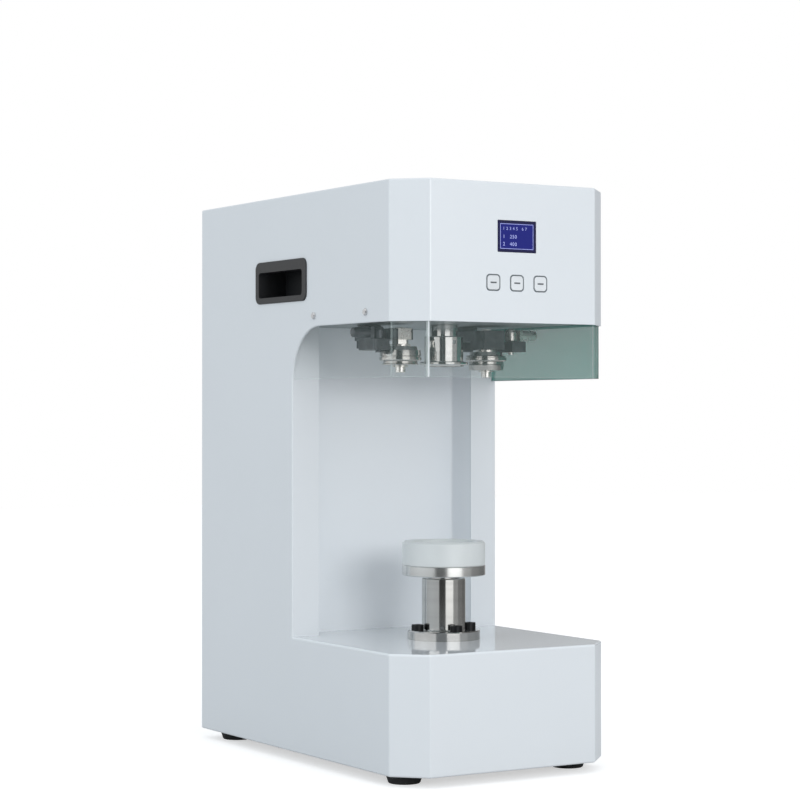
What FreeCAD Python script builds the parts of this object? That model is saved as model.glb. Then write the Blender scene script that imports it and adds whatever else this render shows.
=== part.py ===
"""Bench-top can seamer: a sheet-steel C-frame cabinet, a driven chuck between two
swinging seaming rollers, and a screw lift that raises the can on a free-turning table.

Millimetres. +Z is up, +X is the operator's right and -Y faces the operator.
The origin is on the bench, under the middle of the machine.
"""
import FreeCAD, Part
import math
import os

V = FreeCAD.Vector
Z_UP = V(0, 0, 1)

# ---------------------------------------------------------------- driving sizes
# Cabinet
width = 254.0
front_y = -218.0
back_y = 216.0
foot_height = 10.0
top_z = 589.0
base_top_z = 129.0          # table surface of the base
head_height = 138.0
column_front_y = 6.0
corner_chamfer = 29.0       # 45 degree corners of the head and the base
throat_radius = 55.0        # inside corner where the head meets the column
flange_width = 32.0         # forward-facing edge of the column, each side
recess_depth = 38.0         # column front wall, behind that edge
sheet = 2.0                 # cabinet sheet
bend = 3.0                  # outside radius of the folded corners
edge_round = 1.9            # rounded rim of the top, table and bottom sheets
side_return = 14.0          # how far the front covers run round onto the sides

# Seaming axis
axis_y = -88.0

# Chuck and spindle
chuck_lip_radius = 25.2
chuck_hub_radius = 20.2
chuck_height = 29.5
chuck_lip_height = 3.2
lip_rise = 0.7              # roller groove above the chuck's lower face
chuck_boss_radius = 20.5
chuck_boss_height = 1.6
chuck_boss_wall = 3.0
chuck_gap = 12.0            # chuck to the mounting plate
chuck_socket_depth = 12.0
spindle_radius = 14.5
spindle_step = 3.0          # shoulder down to the nose and to the nut's journal
spindle_bore = 5.2          # central knock-out bore
spindle_journal = 10.0
spindle_nut_radius = 15.0
spindle_nut_height = 6.8
bearing_radius = 22.0
bearing_height = 12.0
bearing_groove = 2.2
housing_wall = 5.0
housing_flange = 9.0
housing_gap = 8.0           # housing to the belt
grub_screw_radius = 2.0

# Seaming rollers and their arms
roller_x = 52.5             # open position, each side of the axis
roller_radius = 21.5
roller_pin_radius = 5.2
first_roller_drop = 0.5     # underside of the first-operation roller, under the chuck
second_roller_drop = 4.9    # the second-operation roller hangs lower
roller_height = 19.0
arm_pivot_x = 60.0
arm_pivot_back = 50.0       # pivot, behind the seaming axis
arm_thickness = 11.0
arm_gap = 5.0               # arm to the mounting plate
pivot_shaft_radius = 8.0
pivot_boss_radius = 15.0
pivot_nut_radius = 13.0
pivot_nut_height = 8.0
bush_wall = 3.0
arm_bush_wall = 4.0
holder_gap = 2.4            # roller face to roller holder, filled by a washer
holder_half_width = 12.5
holder_half_depth = 11.0
front_lip_gap = 2.2
front_lip = 2.8
fork_block = 17.0           # square nickel block in the fork of the first arm
tongue_length = 18.5        # lower outer step of each arm
tongue_half_width = 12.0
tongue_depth = 11.0
thumb_nut_radius = 6.2
thumb_nut_height = 13.5
barrel_radius = 5.4
barrel_guard_gap = 10.0     # adjusting barrel to the guard
barrel_cap = 3.6
lug_thickness = 4.0
gearmotor_side = 44.0
gearmotor_height = 50.0
gearmotor_foot = 3.0
gearmotor_foot_height = 4.0

# Mounting plate inside the head
plate_lift = 2.0            # above the lower edge of the head
plate_thickness = 10.0
plate_side_gap = 7.0

# Belt drive
motor_y = 130.0
motor_radius = 42.0
driven_pulley_radius = 34.0
motor_pulley_radius = 20.0
belt_thickness = 2.5
belt_width = 15.0
belt_below_top = 61.0
drive_motor_length = 120.0
motor_below_belt = 20.0
motor_shaft_radius = 7.0
motor_shelf = 6.0
motor_shelf_reach = 52.0    # behind the motor shaft

# Lift
tube_radius = 22.5
ram_radius = 16.0
flange_radius = 37.5
flange_thickness = 9.5
flange_bolt_circle = 29.7   # radius
flange_bolt_angle = -7.0
flange_bolt_head_radius = 6.3
flange_bolt_head_height = 6.2
tube_top_z = 192.0
disc_radius = 43.0
disc_bottom_z = 194.8
disc_thickness = 10.6
nest_height = 24.5
can_radius = 33.0
nest_clearance = 0.3
nest_depth = 8.0
lift_travel = 57.0
rod_radius = 8.0
rod_spare = 5.0             # push rod left in the actuator at the top of the lift
bush_length = 16.0
sleeve_below_table = 37.0
actuator_gap = 4.0          # sleeve to the actuator
table_gap = 0.6             # disc to the ram
table_bearing_radius = 11.0
table_bearing_height = 9.0
table_pivot_radius = 5.0
table_pivot_depth = 6.0     # below its bearing
table_pivot_grip = 4.0      # into the disc
actuator_half = 20.0
actuator_motor_reach = 42.0
actuator_gearbox_height = 26.0
actuator_wall = 5.0

# Guard screen
guard_sheet = 3.0
guard_drop = 54.0           # below the head
guard_overlap = 17.0        # height of the panes inside the head

# Controls
control_x = 3.0
display_below_top = 53.0
display_width = 45.5
display_height = 31.0
key_below_top = 99.0
key_pitch = 28.0
key_size = 14.0
key_gasket = 1.1
key_gap = 0.25
key_travel = 0.8
key_depth = 4.5
key_skirt = 0.9
key_stem = 4.2
key_stem_radius = 2.0
keypad_half_width = 40.0
keypad_half_height = 12.0
display_rim_x = 6.0         # display module round its window
display_rim_z = 4.0
display_depth = 8.0
key_proud = 0.5

# Carrying handles
handle_y = 30.0
handle_below_top = 89.0
handle_length = 111.0
handle_height = 44.5
handle_flange = 1.6
handle_depth = 34.0
handle_wall = 2.5

# Power entry and ventilation
inlet_x = -48.0
inlet_z = 85.0
rocker_x = 2.0
inlet_half_width = 14.0
inlet_half_height = 10.0
rocker_half_width = 10.0
rocker_half_height = 13.0
power_hole_gap = 0.3
rocker_angle = 9.0
supply_half_width = 55.0
supply_depth = 110.0
supply_height = 40.0
supply_back_gap = 36.0
vent_slot = 52.0
floor_vent_slot = 60.0
vent_slot_height = 4.0
vent_pitch = 11.0
vent_column_x = 34.0
head_vent_below_top = 109.0
column_vent_below_head = 151.0

# Circuit boards
board_gap = 18.0            # behind the front face
board_half_width = 62.0
board_top_gap = 15.0
board_height = 100.0
board_sheet = 1.6

# Inner frame
support_half = 70.0
support_thickness = 12.0
support_post_radius = 9.0
support_post_inset = 14.0
spine_thickness = 12.0
spine_gap = 12.0            # throat wall to the spine
spine_handle_gap = 5.0      # spine to the handle cups
spine_rim = 43.0            # beside the windows
spine_window_share = 0.185  # height of a window, of the spine's height

# Feet
foot_radius = 18.0
foot_inset_x = 29.0
foot_front_inset = 48.0
foot_back_inset = 30.0

# Clearances
running = 0.05              # radial, shaft in bush
seat_gap = 0.3              # parts that pass each other
m4_radius, m5_radius, m6_radius, m8_radius = 2.0, 2.5, 3.0, 4.0
m8_key_width = 6.0
hole_clearance = 0.25
screw_head_radius = 3.6
screw_head_height = 2.2
back_fold = 14.0            # rear fold of the side panels
back_screw_inset = 8.0
back_screw_margin = 30.0

# ---------------------------------------------------------------- derived places
half_width = width / 2.0
inner_half = half_width - sheet
base_bottom_z = foot_height
head_under_z = top_z - head_height
plate_bottom_z = head_under_z + plate_lift
belt_bottom_z = top_z - belt_below_top
guard_bottom_z = head_under_z - guard_drop
display_z = top_z - display_below_top
key_z = top_z - key_below_top
handle_z = top_z - handle_below_top
chamfer_y = front_y + corner_chamfer
chamfer_x = half_width - corner_chamfer
recess_y = column_front_y + recess_depth
recess_half = half_width - flange_width
plate_top_z = plate_bottom_z + plate_thickness
chuck_top_z = plate_bottom_z - chuck_gap
chuck_bottom_z = chuck_top_z - chuck_height
first_roller_z = chuck_bottom_z - first_roller_drop
second_roller_z = chuck_bottom_z - second_roller_drop
disc_top_z = disc_bottom_z + disc_thickness
nest_top_z = disc_top_z + nest_height
flange_top_z = base_top_z + flange_thickness
guard_offset = sheet + seat_gap
belt_top_z = belt_bottom_z + belt_width
spindle_top_z = belt_top_z + spindle_journal
motor_top_z = belt_bottom_z - motor_below_belt
arm_pivot_y = axis_y + arm_pivot_back
arm_top_z = plate_bottom_z - arm_gap
arm_bottom_z = arm_top_z - arm_thickness
bush_radius = pivot_shaft_radius + arm_bush_wall
support_bottom_z = base_top_z - sheet - support_thickness
spine_y = recess_y + sheet + spine_gap
spine_back_y = spine_y + spine_thickness
spine_half = half_width - handle_depth - spine_handle_gap
sleeve_bottom_z = base_top_z - sleeve_below_table
ram_bottom_z = sleeve_bottom_z + actuator_gap
actuator_top_z = sleeve_bottom_z - actuator_gap


# ---------------------------------------------------------------- shape helpers
def box(x0, x1, y0, y1, z0, z1):
    return Part.makeBox(x1 - x0, y1 - y0, z1 - z0, V(x0, y0, z0))


def rod(x, y, radius, z0, z1):
    return Part.makeCylinder(radius, z1 - z0, V(x, y, z0))


def ring(x, y, outer, inner, z0, z1):
    return rod(x, y, outer, z0, z1).cut(rod(x, y, inner, z0 - 1, z1 + 1))


def rod_along(direction, centre, radius, length):
    """Cylinder from centre along a direction."""
    return Part.makeCylinder(radius, length, centre, direction)


def prism(points, z0, z1):
    """Straight-sided outline in plan, extruded upwards."""
    loop = [V(x, y, z0) for x, y in points]
    return Part.Face(Part.makePolygon(loop + loop[:1])).extrude(V(0, 0, z1 - z0))


def lathe(profile, x, y):
    """Closed (radius, z) profile turned about a vertical axis."""
    loop = [V(r, 0, z) for r, z in profile]
    solid = Part.Face(Part.makePolygon(loop + loop[:1])).revolve(V(), Z_UP, 360)
    solid.translate(V(x, y, 0))
    return solid


def rounded_block(size_u, size_v, depth, radius):
    """Rounded rectangle in the XZ plane, centred, extruded along +Y from y = 0."""
    block = box(-size_u / 2, size_u / 2, 0, depth, -size_v / 2, size_v / 2)
    along_y = [e for e in block.Edges if abs(e.tangentAt(e.FirstParameter).y) > 0.99]
    return block.makeFillet(radius, along_y)


def moved(shape, x=0.0, y=0.0, z=0.0):
    copy = shape.copy()
    copy.translate(V(x, y, z))
    return copy


def turned_to_side(shape, side):
    """Turns a part built facing -Y so that it faces the cabinet side (-1 left, 1 right)."""
    copy = shape.copy()
    copy.rotate(V(), Z_UP, 90 * side)
    return copy


def mirrored(shape):
    return shape.mirror(V(), V(1, 0, 0))


def offset_path(points, distance):
    """Open plan outline moved to its left by distance, with mitred corners."""
    moved_points = []
    count = len(points)
    for i, (x, y) in enumerate(points):
        before = points[max(i - 1, 0)], points[max(i, 1)]
        after = points[min(i, count - 2)], points[min(i + 1, count - 1)]
        normals = []
        for (ax, ay), (bx, by) in (before, after):
            length = math.hypot(bx - ax, by - ay)
            normals.append(V(-(by - ay) / length, (bx - ax) / length, 0))
        mitre = (normals[0] + normals[1]).normalize()
        reach = distance / mitre.dot(normals[0])
        moved_points.append((x + mitre.x * reach, y + mitre.y * reach))
    return moved_points


def vertical_edges(shape, at_points, tolerance=0.01):
    """Vertical edges that stand on the given plan points."""
    found = []
    for edge in shape.Edges:
        a, b = edge.Vertexes[0].Point, edge.Vertexes[-1].Point
        upright = math.hypot(a.x - b.x, a.y - b.y) < tolerance and abs(a.z - b.z) > 1
        if upright and any(math.hypot(a.x - x, a.y - y) < tolerance for x, y in at_points):
            found.append(edge)
    return found


def edges_at_height(shape, z, keep):
    """Level edges at height z whose middle passes the test keep(x, y)."""
    found = []
    for edge in shape.Edges:
        ends = [v.Point for v in edge.Vertexes]
        if all(abs(p.z - z) < 0.01 for p in ends):
            middle = edge.valueAt((edge.FirstParameter + edge.LastParameter) / 2)
            if abs(middle.z - z) < 0.01 and keep(middle.x, middle.y):
                found.append(edge)
    return found


def even_places(first, last, count):
    """Evenly spaced heights from first to last."""
    return [first + (last - first) * i / (count - 1) for i in range(count)]


def circle_places(radius, count, first_angle=0.0):
    step = 360.0 / count
    angles = [math.radians(first_angle + step * i) for i in range(count)]
    return [(radius * math.cos(a), radius * math.sin(a)) for a in angles]


def socket_screw(radius, head_radius, head_height, shank, key_width):
    """Hexagon-socket cap screw, head upwards, bearing face at z = 0."""
    head = rod(0, 0, head_radius, 0, head_height)
    head = head.makeChamfer(0.5, edges_at_height(head, head_height, lambda x, y: True))
    corners = circle_places(key_width / math.sqrt(3), 6)
    head = head.cut(prism(corners, head_height * 0.45, head_height + 1))
    return head.fuse(rod(0, 0, radius, -shank, 0)).removeSplitter()


def pan_screw(radius, head_radius, head_height, shank):
    """Pan head screw, head upwards, bearing face at z = 0."""
    shoulder = head_height * 0.45
    return lathe([(0, -shank), (radius, -shank), (radius, 0), (head_radius, 0),
                  (head_radius, shoulder), (head_radius * 0.72, head_height),
                  (0, head_height)], 0, 0)


def facing(shape, direction):
    """Turns a part built along +Z so that it points along a direction."""
    copy = shape.copy()
    copy.Placement = FreeCAD.Placement(V(), FreeCAD.Rotation(Z_UP, direction))
    return copy


nodes = {}
cabinet_screws = []


def keep(name, *solids):
    """Stores a named sub-part; several solids stay separate in one node."""
    flat = [s for shape in solids for s in shape.Solids]
    nodes[name] = flat[0] if len(flat) == 1 else Part.makeCompound(flat)


# ---------------------------------------------------------------- cabinet
front_outline = [
    (-half_width, chamfer_y + side_return),
    (-half_width, chamfer_y),
    (-chamfer_x, front_y),
    (chamfer_x, front_y),
    (half_width, chamfer_y),
    (half_width, chamfer_y + side_return),
]
handle_hole_length = handle_length - 8.0
handle_hole_height = handle_height - 8.0
guard_screw_places = ((-40.5, head_under_z + 10.5), (-144.5, head_under_z + 10.5))
foot_places = [
    (side * (half_width - foot_inset_x), y)
    for side in (-1, 1)
    for y in (front_y + foot_front_inset, back_y - foot_back_inset)
]
back_screw_places = [
    (side * (inner_half - back_screw_inset), z)
    for side in (-1, 1)
    for z in even_places(base_bottom_z + back_screw_margin, top_z - back_screw_margin, 4)
]


def side_panel(side):
    """C-shaped cabinet side with its folded throat edge and rear fold."""
    start_y = chamfer_y + side_return
    low, high = base_bottom_z + sheet, top_z - sheet
    corner = V(0, column_front_y - throat_radius, head_under_z)
    middle_angle = math.radians(45)
    centre_y = column_front_y - throat_radius
    centre_z = head_under_z - throat_radius
    arc_middle = V(0, centre_y + throat_radius * math.cos(middle_angle),
                   centre_z + throat_radius * math.sin(middle_angle))
    arc_end = V(0, column_front_y, centre_z)
    table_low = base_top_z - sheet
    run = [V(0, start_y, low), V(0, back_y, low), V(0, back_y, high),
           V(0, start_y, high), V(0, start_y, head_under_z), corner]
    tail = [arc_end, V(0, column_front_y, table_low), V(0, start_y, table_low), run[0]]
    edges = [Part.LineSegment(a, b).toShape() for a, b in zip(run, run[1:])]
    edges.append(Part.Arc(corner, arc_middle, arc_end).toShape())
    edges += [Part.LineSegment(a, b).toShape() for a, b in zip(tail, tail[1:])]
    plate = Part.Face(Part.Wire(edges)).extrude(V(sheet, 0, 0))
    plate.translate(V(-half_width, 0, 0))
    fold = box(-half_width, -recess_half, column_front_y, column_front_y + sheet,
               base_top_z, plate_bottom_z)
    rear_fold = box(-half_width, -inner_half + back_fold, back_y - 2 * sheet, back_y - sheet,
                    low, high)
    panel = plate.fuse(fold).fuse(rear_fold).removeSplitter()
    panel = panel.makeFillet(
        sheet * 0.6, vertical_edges(panel, [(-half_width, column_front_y)]))
    cup = turned_to_side(
        rounded_block(handle_hole_length, handle_hole_height, 3 * sheet, 6.0), -1)
    panel = panel.cut(moved(cup, -half_width - sheet, handle_y, handle_z))
    for y, z in guard_screw_places:
        hole = rod_along(V(1, 0, 0), V(-half_width - 1, y, z), m4_radius + hole_clearance,
                         3 * sheet)
        panel = panel.cut(hole)
    for x, z in back_screw_places:
        if x < 0:
            panel = panel.cut(rod_along(V(0, 1, 0), V(x, back_y - 3 * sheet, z),
                                        m4_radius, 2 * sheet))
    return panel if side < 0 else mirrored(panel)


def front_cover(low, high):
    """Folded front sheet: face, two 45 degree corners and two short side returns."""
    inner = offset_path(front_outline, sheet)
    cover = prism(front_outline + inner[::-1], low, high)
    cover = cover.makeFillet(bend, vertical_edges(cover, front_outline[1:-1]))
    return cover.makeFillet(bend - sheet, vertical_edges(cover, inner[1:-1]))


def plan_sheet(low, high, back, round_high):
    """Full-plan sheet with chamfered front corners and a rounded rim."""
    outline = front_outline[1:-1] + [(half_width, back), (-half_width, back)]
    slab = prism(outline, low, high)
    slab = slab.makeFillet(bend, vertical_edges(slab, front_outline[1:-1]))
    rim_z = high if round_high else low
    rim = edges_at_height(slab, rim_z, lambda x, y: y < back - 0.5)
    return slab.makeFillet(edge_round, rim)


def cabinet():
    keep("left_side_panel", side_panel(-1))
    keep("right_side_panel", side_panel(1))

    head = front_cover(head_under_z, top_z - sheet)
    window = rounded_block(display_width + 2 * seat_gap, display_height + 2 * seat_gap,
                           3 * sheet, 0.8)
    head = head.cut(moved(window, control_x, front_y - sheet, display_z))
    key_hole = key_size + 2 * (key_gap + key_gasket)
    for x in key_places:
        hole = rounded_block(key_hole, key_hole, 3 * sheet, 4.0)
        head = head.cut(moved(hole, x, front_y - sheet, key_z))
    keep("head_front_cover", head)

    keep("base_front_cover", front_cover(base_bottom_z + sheet, base_top_z - sheet))

    roof = plan_sheet(top_z - sheet, top_z, back_y, True)
    keep("top_cover", roof)

    table = plan_sheet(base_top_z - sheet, base_top_z, column_front_y, True)
    tongue = box(-recess_half, recess_half, column_front_y, recess_y + sheet,
                 base_top_z - sheet, base_top_z)
    table = table.fuse(tongue).removeSplitter()
    table = table.cut(rod(0, axis_y, tube_radius + seat_gap, 0, top_z))
    for x, y in circle_places(flange_bolt_circle, 4, flange_bolt_angle):
        table = table.cut(rod(x, axis_y + y, m8_radius + hole_clearance, 0, top_z))
    keep("base_table_sheet", table)

    floor = plan_sheet(base_bottom_z, base_bottom_z + sheet, back_y, False)
    for x, y in foot_places:
        floor = floor.cut(rod(x, y, m5_radius + hole_clearance, 0, top_z))
    vent = rounded_block(floor_vent_slot, vent_slot_height, 4 * sheet,
                         vent_slot_height * 0.475)
    vent.rotate(V(), V(1, 0, 0), 90)
    for row in range(6):
        floor = floor.cut(moved(vent, 0, column_front_y + vent_pitch * (row - 1),
                                base_bottom_z - sheet))
    keep("bottom_plate", floor)

    inner_u = [(-recess_half, column_front_y + sheet), (-recess_half, recess_y),
               (recess_half, recess_y), (recess_half, column_front_y + sheet)]
    outer_u = offset_path(inner_u, sheet)
    wall = prism(inner_u + outer_u[::-1], base_top_z, plate_bottom_z)
    wall = wall.makeFillet(bend, vertical_edges(wall, inner_u[1:-1]))
    keep("throat_wall", wall)

    cover = box(-inner_half, inner_half, back_y - sheet, back_y, base_bottom_z + sheet,
                top_z - sheet)
    slot = rounded_block(vent_slot, vent_slot_height, 4 * sheet, vent_slot_height * 0.475)
    for column in (-vent_column_x, vent_column_x):
        for row in range(6):
            for start_z in (head_under_z - column_vent_below_head,
                            top_z - head_vent_below_top):
                cover = cover.cut(moved(slot, column, back_y - 3 * sheet,
                                        start_z + vent_pitch * row))
    for x, z in back_screw_places:
        cover = cover.cut(rod_along(V(0, 1, 0), V(x, back_y - 3 * sheet, z),
                                    m4_radius + hole_clearance, 4 * sheet))
    for x, half_x, half_z in ((inlet_x, inlet_half_width, inlet_half_height),
                              (rocker_x, rocker_half_width, rocker_half_height)):
        across, up = half_x + power_hole_gap, half_z + power_hole_gap
        cover = cover.cut(box(x - across, x + across, recess_y + sheet, back_y + sheet,
                              inlet_z - up, inlet_z + up))
    keep("back_cover", cover)

    screw = facing(pan_screw(m4_radius, screw_head_radius, screw_head_height, 2 * sheet), V(0, 1, 0))
    cabinet_screws.extend(moved(screw, x, back_y, z) for x, z in back_screw_places)


def feet():
    """Moulded rubber feet, each held by a screw in its recess."""
    recess_radius, recess_height, web = 6.5, 6.0, foot_height - 6.0
    profile = [(m5_radius + hole_clearance, foot_height), (foot_radius, foot_height),
               (foot_radius, foot_height - 3.0), (foot_radius - 2.0, 0.8),
               (foot_radius - 2.8, 0.0), (recess_radius, 0.0),
               (recess_radius, recess_height), (m5_radius + hole_clearance, recess_height)]
    keep("rubber_feet", *[lathe(profile, x, y) for x, y in foot_places])
    screw = facing(pan_screw(m5_radius, 4.8, 3.0, web + 2 * sheet + 3.0), V(0, 0, -1))
    cabinet_screws.extend(moved(screw, x, y, recess_height) for x, y in foot_places)


# ---------------------------------------------------------------- carrying handles
def handle_cup():
    """Flush pull moulded in black plastic, built facing -Y at the origin."""
    flange = rounded_block(handle_length, handle_height, handle_flange, 8.0)
    face = [e for e in flange.Edges if all(abs(v.Point.y) < 0.01 for v in e.Vertexes)]
    flange = moved(flange.makeFillet(1.0, face), 0, -handle_flange)
    body_length, body_height = handle_hole_length - 1.0, handle_hole_height - 1.0
    body = rounded_block(body_length, body_height, handle_depth, 5.5)
    mouth_length = body_length - 2 * handle_wall - 2.0
    mouth_height = body_height - 2 * handle_wall - 3.5
    mouth_drop = -2.5                      # the upper lip is the deeper one to grip
    mouth = moved(rounded_block(mouth_length, mouth_height, 14.0, 3.5),
                  0, -handle_flange - 1, mouth_drop)
    pocket = moved(rounded_block(body_length - 2 * handle_wall,
                                 body_height - 2 * handle_wall,
                                 handle_depth - 10.0 - handle_wall, 3.5), 0, 10.0)
    return flange.fuse(body).removeSplitter().cut(mouth).cut(pocket)


def handles():
    cup = handle_cup()
    for side, name in ((-1, "left_handle_cup"), (1, "right_handle_cup")):
        keep(name, moved(turned_to_side(cup, side), side * half_width, handle_y, handle_z))


# ---------------------------------------------------------------- guard screen
def guard():
    """Five acrylic panes glued edge to edge, hung inside the head."""
    rear_y = column_front_y - seat_gap
    outline = [(-half_width, rear_y)] + front_outline[1:-1] + [(half_width, rear_y)]
    outer = offset_path(outline, guard_offset)
    inner = offset_path(outline, guard_offset + guard_sheet)
    holes = Part.makeCompound([
        rod_along(V(1, 0, 0), V(-half_width - 5, y, z), m4_radius + hole_clearance,
                  width + 10) for y, z in guard_screw_places])
    panes = []
    for i in range(len(outer) - 1):
        pane = prism([outer[i], outer[i + 1], inner[i + 1], inner[i]],
                     guard_bottom_z, head_under_z + guard_overlap)
        panes.append(pane.cut(holes))
    keep("guard_screen", *panes)
    screw = pan_screw(m4_radius, screw_head_radius, screw_head_height, sheet + seat_gap + guard_sheet + 5.0)
    nut = prism(circle_places(4.0, 6), 0, 3.2).cut(rod(0, 0, m4_radius, -1, 5))
    inner_x = half_width - guard_offset - guard_sheet
    for side in (-1, 1):
        outward = facing(screw, V(side, 0, 0))
        nut_turned = facing(nut, V(-side, 0, 0))
        for y, z in guard_screw_places:
            cabinet_screws.append(moved(outward, side * half_width, y, z))
            cabinet_screws.append(moved(nut_turned, side * inner_x, y, z))


# ---------------------------------------------------------------- controls
key_places = [control_x + key_pitch * i for i in (-1, 0, 1)]
board_y = front_y + board_gap


def key_cap():
    """Rounded key with a skirt that stays behind the gasket, facing -Y."""
    cap = rounded_block(key_size, key_size, key_depth, 3.2)
    face = [e for e in cap.Edges if all(abs(v.Point.y) < 0.01 for v in e.Vertexes)]
    cap = cap.makeFillet(0.4, face)
    skirt_size = key_size + 2 * key_gasket
    skirt = moved(rounded_block(skirt_size, skirt_size, 1.2, 3.4), 0, key_depth - key_skirt)
    stem = rod_along(V(0, 1, 0), V(0, key_depth, 0), key_stem_radius, key_stem)
    return cap.fuse(skirt).fuse(stem).removeSplitter()


def controls():
    cap = key_cap()
    hole = key_size + 2 * key_gap
    collar = rounded_block(hole + 2 * key_gasket, hole + 2 * key_gasket, sheet, 4.0)
    collar = collar.cut(moved(rounded_block(hole, hole, 3 * sheet, 3.4), 0, -sheet))
    keep("key_gaskets", *[moved(collar, x, front_y, key_z) for x in key_places])
    names = ("left_key", "middle_key", "right_key")
    for x, name in zip(key_places, names):
        keep(name, moved(cap, x, front_y - key_proud, key_z))

    glass = moved(rounded_block(display_width, display_height, 1.8, 0.6),
                  control_x, front_y + 0.2, display_z)
    keep("display_window", glass)
    half_x, half_z = display_width / 2 + display_rim_x, display_height / 2 + display_rim_z
    module = box(-half_x, half_x, 0, display_depth, -half_z, half_z)
    keep("display_module", moved(module, control_x, front_y + sheet, display_z))

    keypad_y = front_y - key_proud + key_depth + key_stem + key_travel + 0.2
    key_row = box(-keypad_half_width, keypad_half_width, 0, board_sheet,
                  -keypad_half_height, keypad_half_height)
    keypad = moved(key_row, control_x, keypad_y + 1.4, key_z)
    for x in key_places:
        keypad = keypad.fuse(moved(box(-3, 3, 0, 1.4, -3, 3), x, keypad_y, key_z))

    board_top_z = top_z - board_top_gap
    board_low_z = board_top_z - board_height
    board_back = board_y + board_sheet
    board = box(-board_half_width, board_half_width, board_y, board_back,
                board_low_z, board_top_z)
    for across, up, size in ((-0.65, 0.71, 20.0), (-0.13, 0.86, 13.0), (0.56, 0.76, 22.0),
                             (-0.72, 0.26, 19.0), (0.16, 0.26, 15.0), (0.68, 0.26, 17.0)):
        x, z = across * board_half_width, board_low_z + up * board_height
        board = board.fuse(box(x - size / 2, x + size / 2, board_back, board_back + size / 2,
                               z - size * 0.4, z + size * 0.4))
    margin = 6.0
    corners = [(side * (board_half_width - margin), z) for side in (-1, 1)
               for z in (board_low_z + margin, board_top_z - margin)]
    for x, z in corners:
        board = board.cut(rod_along(V(0, 1, 0), V(x, board_y - 1, z), 1.7, 4))
    spacer = [rod_along(V(0, 1, 0), V(x, front_y + sheet, z), 3.2,
                        board_y - front_y - sheet) for x, z in corners]
    tie_x, tie_z = keypad_half_width - 4.0, keypad_half_height - 4.0
    ties = [rod_along(V(0, 1, 0), V(control_x + x, keypad_y + 3.0, key_z + z), 2.5,
                      board_y - keypad_y - 3.0)
            for x in (-tie_x, tie_x) for z in (-tie_z, tie_z)]
    keep("control_boards", board.removeSplitter(), keypad.removeSplitter(),
         *(spacer + ties))


# ---------------------------------------------------------------- power entry
def power_entry():
    """Appliance inlet and rocker switch in the back cover."""
    wide, tall = inlet_half_width, inlet_half_height
    flange = box(-wide - 11.0, wide + 11.0, 0, 2.5, -tall - 3.5, tall + 3.5)
    shell = box(-wide, wide, -22.0, 0, -tall, tall)
    inlet = flange.fuse(shell).removeSplitter()
    inlet = inlet.cut(box(-wide + 2.0, wide - 2.0, -17.0, 5.0, -tall + 2.0, tall - 2.0))
    for x, z in ((-7, 2), (7, 2), (0, 5)):
        inlet = inlet.fuse(box(x - 1, x + 1, -20, -1.5, z - 2.0, z + 2.0))
    for x in (-20, 20):
        inlet = inlet.cut(rod_along(V(0, 1, 0), V(x, -5, 0), 1.7, 10))
    keep("power_inlet", moved(inlet.removeSplitter(), inlet_x, back_y, inlet_z))

    wide, tall = rocker_half_width, rocker_half_height
    bezel = box(-wide - 3.0, wide + 3.0, 0, 1.6, -tall - 3.0, tall + 3.0)
    bezel = bezel.fuse(box(-wide, wide, -24.0, 0, -tall, tall))
    bezel = bezel.cut(box(-wide + 2.0, wide - 2.0, -10.0, 5.0, -tall + 2.0, tall - 2.0))
    bezel = bezel.removeSplitter()
    keep("rocker_bezel", moved(bezel, rocker_x, back_y, inlet_z))

    pivot_z, pivot_y, reach = 0.0, -4.0, 10.4
    rocker = Part.makeCylinder(reach, 15.4, V(-7.7, pivot_y, pivot_z), V(1, 0, 0))
    keep_zone = box(-9, 9, pivot_y + 1.0, 6, -12, 12)
    hollow = Part.makeCylinder(24.0, 20, V(-10, pivot_y + 27.4, pivot_z), V(1, 0, 0))
    pin = Part.makeCylinder(3.0, 15.4, V(-7.7, pivot_y, pivot_z), V(1, 0, 0))
    rocker = rocker.common(keep_zone).cut(hollow).fuse(pin).removeSplitter()
    rocker.rotate(V(0, pivot_y, pivot_z), V(1, 0, 0), -rocker_angle)
    keep("power_rocker", moved(rocker, rocker_x, back_y, inlet_z))

    low = base_bottom_z + sheet
    top = low + supply_height
    far = back_y - supply_back_gap
    near = far - supply_depth
    supply = box(-supply_half_width, supply_half_width, near, far, low, top)
    slot_half = supply_half_width - 10.0
    for row in range(8):
        y = near + supply_depth * (row + 1.3) / 10.0
        supply = supply.cut(box(-slot_half, slot_half, y, y + 4.0, top - 1.5, top + 1))
    keep("power_supply", supply)


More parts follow.
